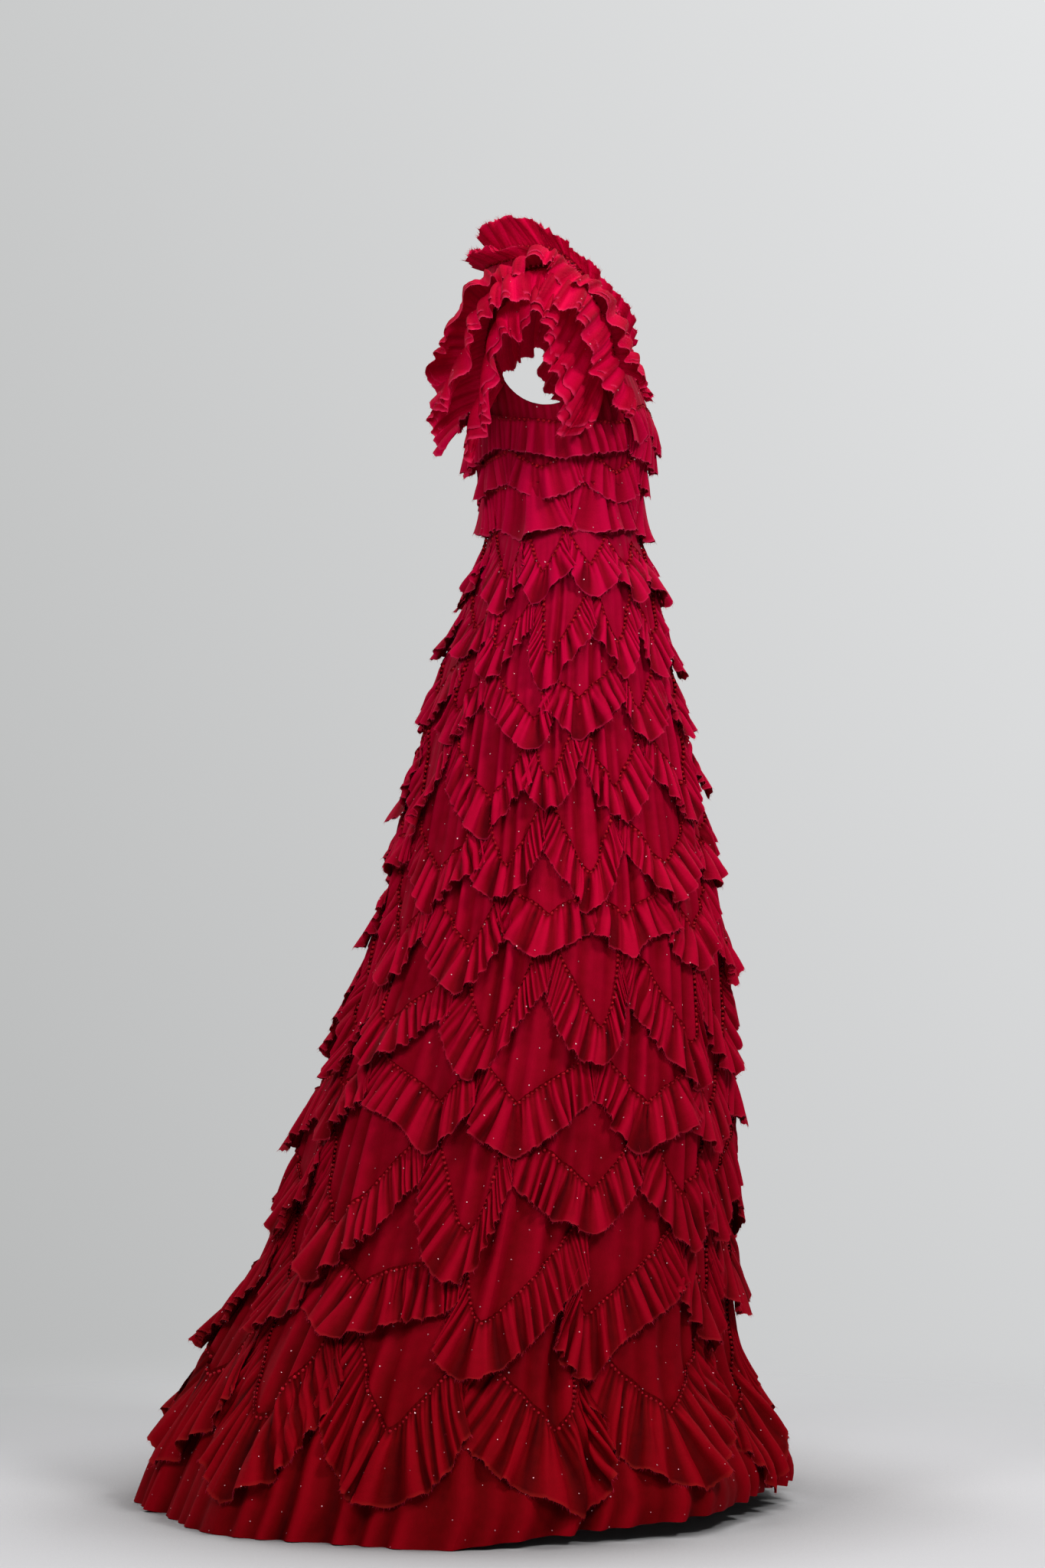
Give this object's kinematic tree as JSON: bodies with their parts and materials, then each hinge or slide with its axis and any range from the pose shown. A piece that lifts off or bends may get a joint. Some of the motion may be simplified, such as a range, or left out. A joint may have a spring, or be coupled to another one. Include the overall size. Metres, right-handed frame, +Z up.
{
  "type": "ruffled tulle maxi dress",
  "caption": "Floor-length worn gown of dotted net, covered in gathered ruffles sewn in a zigzag lattice, with a V neck, ruffled collar, capped shoulders and a short train.",
  "frame": {"origin": "midway between the two shoulder seams, where the wearer's shoulders carry the gown, 1.5 m above the hem", "axes": "+Z up, the gown's front faces -Y, and the wearer's left is +X"},
  "size_m": [0.873, 0.8085, 1.5875],
  "materials": {
    "skirt_tulle": "layered soft net over a plain slip, with tiny metallic dots",
    "bodice_tulle": "layered soft net, with tiny metallic dots",
    "ruffle_tulle": "gathered strips of soft net with raw edges and tiny metallic dots"
  },
  "bodies": {
    "root": {"back_ruffle_lower": "ruffle_tulle", "back_ruffle_middle": "ruffle_tulle", "back_ruffle_upper": "ruffle_tulle", "bodice_back": "bodice_tulle", "bodice_front": "bodice_tulle", "bodice_ruffle": "ruffle_tulle", "chest_ruffle": "ruffle_tulle", "collar_ruffle": "ruffle_tulle", "neck_ruffle": "ruffle_tulle", "skirt_back": "skirt_tulle", "skirt_front": "skirt_tulle", "skirt_ruffle_01": "ruffle_tulle", "skirt_ruffle_02": "ruffle_tulle", "skirt_ruffle_03": "ruffle_tulle", "skirt_ruffle_04": "ruffle_tulle", "skirt_ruffle_05": "ruffle_tulle", "skirt_ruffle_06": "ruffle_tulle", "skirt_ruffle_07": "ruffle_tulle", "skirt_ruffle_08": "ruffle_tulle", "skirt_ruffle_09": "ruffle_tulle", "skirt_ruffle_10": "ruffle_tulle", "skirt_ruffle_11": "ruffle_tulle", "sleeve_lower_left": "ruffle_tulle", "sleeve_lower_right": "ruffle_tulle", "sleeve_middle_left": "ruffle_tulle", "sleeve_middle_right": "ruffle_tulle", "sleeve_upper_left": "ruffle_tulle", "sleeve_upper_right": "ruffle_tulle", "waist_ruffle": "ruffle_tulle"}
  },
  "joints": []
}
